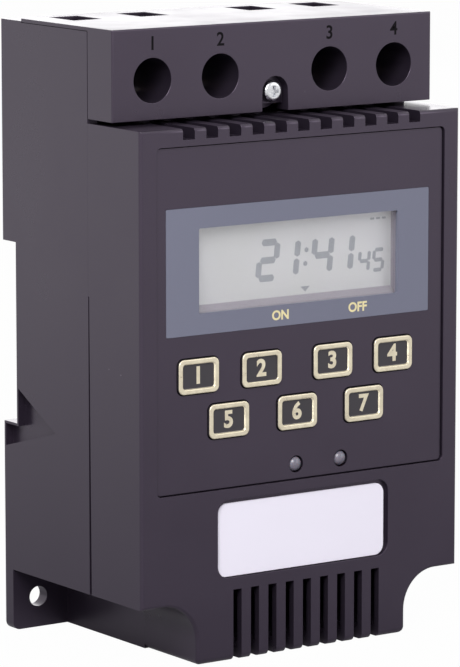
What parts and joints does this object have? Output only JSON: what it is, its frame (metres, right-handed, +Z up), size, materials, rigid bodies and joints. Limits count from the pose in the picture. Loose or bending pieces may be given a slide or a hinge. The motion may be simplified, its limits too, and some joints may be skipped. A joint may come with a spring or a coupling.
{
  "type": "digital timer switch",
  "caption": "Digital time switch for a 35 mm rail, with a display, push keys, lamps, screw terminals under a cover and a sprung rail latch.",
  "frame": {"origin": "middle of the footprint, on the surface the foot stands on", "axes": "+Z up along the longest side, +X to the right seen from the front, the front faces -Y and the back that meets the rail faces +Y"},
  "size_m": [0.074, 0.048, 0.12],
  "materials": {
    "housing_plastic": "satin",
    "faceplate_plastic": "satin",
    "label_vinyl": "satin",
    "rim_paint": "satin",
    "clear_sheet": "polished",
    "cell_glass": "polished",
    "carrier_plastic": "moulded",
    "contact_rubber": "matt",
    "key_plastic": "satin",
    "plunger_plastic": "moulded",
    "switch_plastic": "moulded",
    "lamp_lens": "diffuse",
    "board_laminate": "lacquered",
    "chip_plastic": "moulded",
    "can_steel": "polished",
    "relay_plastic": "moulded",
    "film_case": "moulded",
    "sleeve_film": "shrunk film",
    "varistor_coat": "dipped",
    "fuse_case": "moulded",
    "resistor_coat": "dipped",
    "socket_nylon": "moulded",
    "cable_jacket": "extruded",
    "zinc_steel": "zinc plated",
    "spring_steel": "drawn",
    "brass": "stamped"
  },
  "bodies": {
    "housing": {"rear_base": "housing_plastic", "front_cover": "housing_plastic", "terminal_cover": "housing_plastic", "faceplate": "faceplate_plastic", "label_plate": "label_vinyl", "display_rim": "rim_paint", "display_lens": "clear_sheet", "lcd_cell": "cell_glass", "lcd_carrier": "carrier_plastic", "zebra_strips": "contact_rubber", "key_switches": "switch_plastic", "power_lamp": "lamp_lens", "work_lamp": "lamp_lens", "display_board": "board_laminate", "main_board": "board_laminate", "clock_chip": "chip_plastic", "relay_driver": "chip_plastic", "rectifier_diodes": "chip_plastic", "clock_crystal": "can_steel", "backup_battery": "can_steel", "relay": "relay_plastic", "film_capacitor": "film_case", "electrolytic_capacitors": "sleeve_film", "varistor": "varistor_coat", "fuse": "fuse_case", "power_resistor": "resistor_coat", "cable_sockets": "socket_nylon", "flat_cable": "cable_jacket", "cover_screw": "zinc_steel", "housing_screws": "zinc_steel", "main_board_screws": "zinc_steel", "display_board_screws": "zinc_steel", "latch_spring": "spring_steel", "terminal_bar_1": "brass", "terminal_bar_2": "brass", "terminal_bar_3": "brass", "terminal_bar_4": "brass"},
    "reset_key": {"key_reset": "key_plastic", "plunger_reset": "plunger_plastic"},
    "hour_key": {"key_hour": "key_plastic", "plunger_hour": "plunger_plastic"},
    "minute_key": {"key_minute": "key_plastic", "plunger_minute": "plunger_plastic"},
    "week_key": {"key_week": "key_plastic", "plunger_week": "plunger_plastic"},
    "mode_key": {"key_mode": "key_plastic", "plunger_mode": "plunger_plastic"},
    "timer_key": {"key_timer": "key_plastic", "plunger_timer": "plunger_plastic"},
    "clock_key": {"key_clock": "key_plastic", "plunger_clock": "plunger_plastic"},
    "clamp_1": {"clamp_washer_1": "zinc_steel"},
    "screw_1": {"terminal_screw_1": "zinc_steel"},
    "clamp_2": {"clamp_washer_2": "zinc_steel"},
    "screw_2": {"terminal_screw_2": "zinc_steel"},
    "clamp_3": {"clamp_washer_3": "zinc_steel"},
    "screw_3": {"terminal_screw_3": "zinc_steel"},
    "clamp_4": {"clamp_washer_4": "zinc_steel"},
    "screw_4": {"terminal_screw_4": "zinc_steel"},
    "latch": {"rail_latch": "housing_plastic"}
  },
  "joints": [
    {"name": "reset_press", "type": "slide", "parent": "housing", "child": "reset_key", "axis": [0, 1, 0], "range_m": [0, 0.0005], "stiffness_N_per_m": 2000, "springref_m": -0.0002},
    {"name": "hour_press", "type": "slide", "parent": "housing", "child": "hour_key", "axis": [0, 1, 0], "range_m": [0, 0.0005], "stiffness_N_per_m": 2000, "springref_m": -0.0002},
    {"name": "minute_press", "type": "slide", "parent": "housing", "child": "minute_key", "axis": [0, 1, 0], "range_m": [0, 0.0005], "stiffness_N_per_m": 2000, "springref_m": -0.0002},
    {"name": "week_press", "type": "slide", "parent": "housing", "child": "week_key", "axis": [0, 1, 0], "range_m": [0, 0.0005], "stiffness_N_per_m": 2000, "springref_m": -0.0002},
    {"name": "mode_press", "type": "slide", "parent": "housing", "child": "mode_key", "axis": [0, 1, 0], "range_m": [0, 0.0005], "stiffness_N_per_m": 2000, "springref_m": -0.0002},
    {"name": "timer_press", "type": "slide", "parent": "housing", "child": "timer_key", "axis": [0, 1, 0], "range_m": [0, 0.0005], "stiffness_N_per_m": 2000, "springref_m": -0.0002},
    {"name": "clock_press", "type": "slide", "parent": "housing", "child": "clock_key", "axis": [0, 1, 0], "range_m": [0, 0.0005], "stiffness_N_per_m": 2000, "springref_m": -0.0002},
    {"name": "clamp_1_slide", "type": "slide", "parent": "housing", "child": "clamp_1", "axis": [0, 1, 0], "range_m": [0, 0.0028]},
    {"name": "screw_1_turn", "type": "hinge", "parent": "clamp_1", "child": "screw_1", "pos_m": [-0.028, 0.0111, 0.1102], "axis": [0, 1, 0], "range_deg": [0, 1440]},
    {"name": "clamp_2_slide", "type": "slide", "parent": "housing", "child": "clamp_2", "axis": [0, 1, 0], "range_m": [0, 0.0028]},
    {"name": "screw_2_turn", "type": "hinge", "parent": "clamp_2", "child": "screw_2", "pos_m": [-0.01265, 0.0111, 0.1102], "axis": [0, 1, 0], "range_deg": [0, 1440]},
    {"name": "clamp_3_slide", "type": "slide", "parent": "housing", "child": "clamp_3", "axis": [0, 1, 0], "range_m": [0, 0.0028]},
    {"name": "screw_3_turn", "type": "hinge", "parent": "clamp_3", "child": "screw_3", "pos_m": [0.01265, 0.0111, 0.1102], "axis": [0, 1, 0], "range_deg": [0, 1440]},
    {"name": "clamp_4_slide", "type": "slide", "parent": "housing", "child": "clamp_4", "axis": [0, 1, 0], "range_m": [0, 0.0028]},
    {"name": "screw_4_turn", "type": "hinge", "parent": "clamp_4", "child": "screw_4", "pos_m": [0.028, 0.0111, 0.1102], "axis": [0, 1, 0], "range_deg": [0, 1440]},
    {"name": "latch_slide", "type": "slide", "parent": "housing", "child": "latch", "axis": [0, 0, -1], "range_m": [0, 0.003], "stiffness_N_per_m": 800, "springref_m": -0.002, "deforming": ["latch_spring"]}
  ],
  "couplings": [
    {"joint": "screw_1_turn", "follows": "clamp_1_slide", "rad_per_m": 8975.9},
    {"joint": "screw_2_turn", "follows": "clamp_2_slide", "rad_per_m": 8975.9},
    {"joint": "screw_3_turn", "follows": "clamp_3_slide", "rad_per_m": 8975.9},
    {"joint": "screw_4_turn", "follows": "clamp_4_slide", "rad_per_m": 8975.9}
  ]
}
